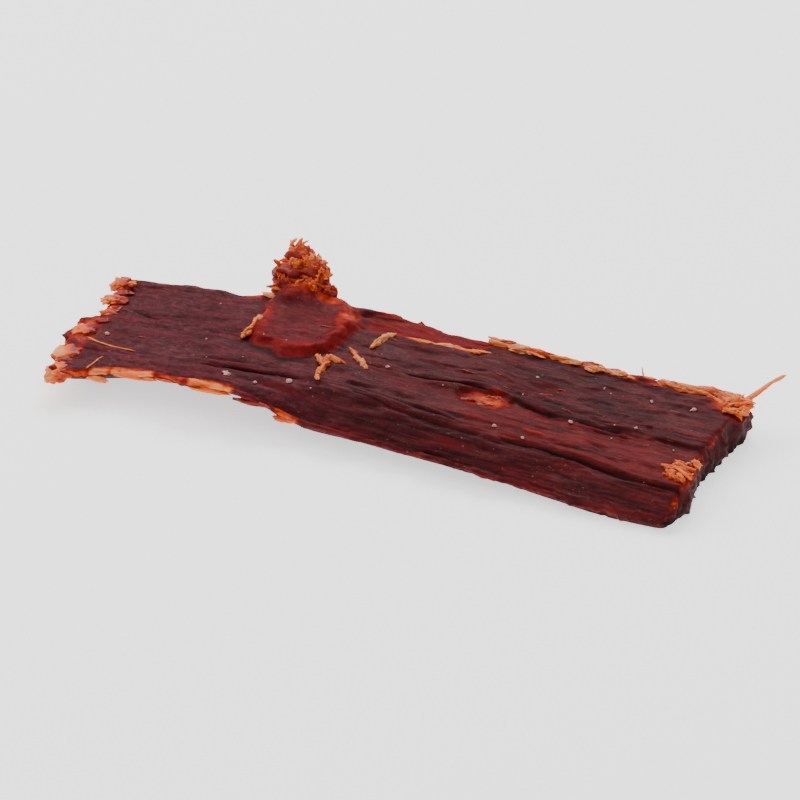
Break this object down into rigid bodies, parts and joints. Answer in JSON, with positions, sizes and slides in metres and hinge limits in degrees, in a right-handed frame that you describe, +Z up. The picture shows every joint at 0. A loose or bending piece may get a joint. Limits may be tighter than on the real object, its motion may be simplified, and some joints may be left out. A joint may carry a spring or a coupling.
{
  "type": "beef jerky strip",
  "caption": "Strip of dried beef cut along the grain, with lengthwise creases, a torn leaf and crumbly torn ends.",
  "frame": {"origin": "under the middle of the strip's box, on the surface it lies on", "axes": "+X along the strip, towards its end with the tufts of torn fibre; +Y across it, towards the edge with the torn leaf; +Z up"},
  "size_m": [0.101, 0.0332, 0.0127],
  "materials": {
    "dried_beef": "satin, dark red-brown, with lighter orange torn edges"
  },
  "bodies": {
    "root": {"jerky_strip": "dried_beef"}
  },
  "joints": []
}
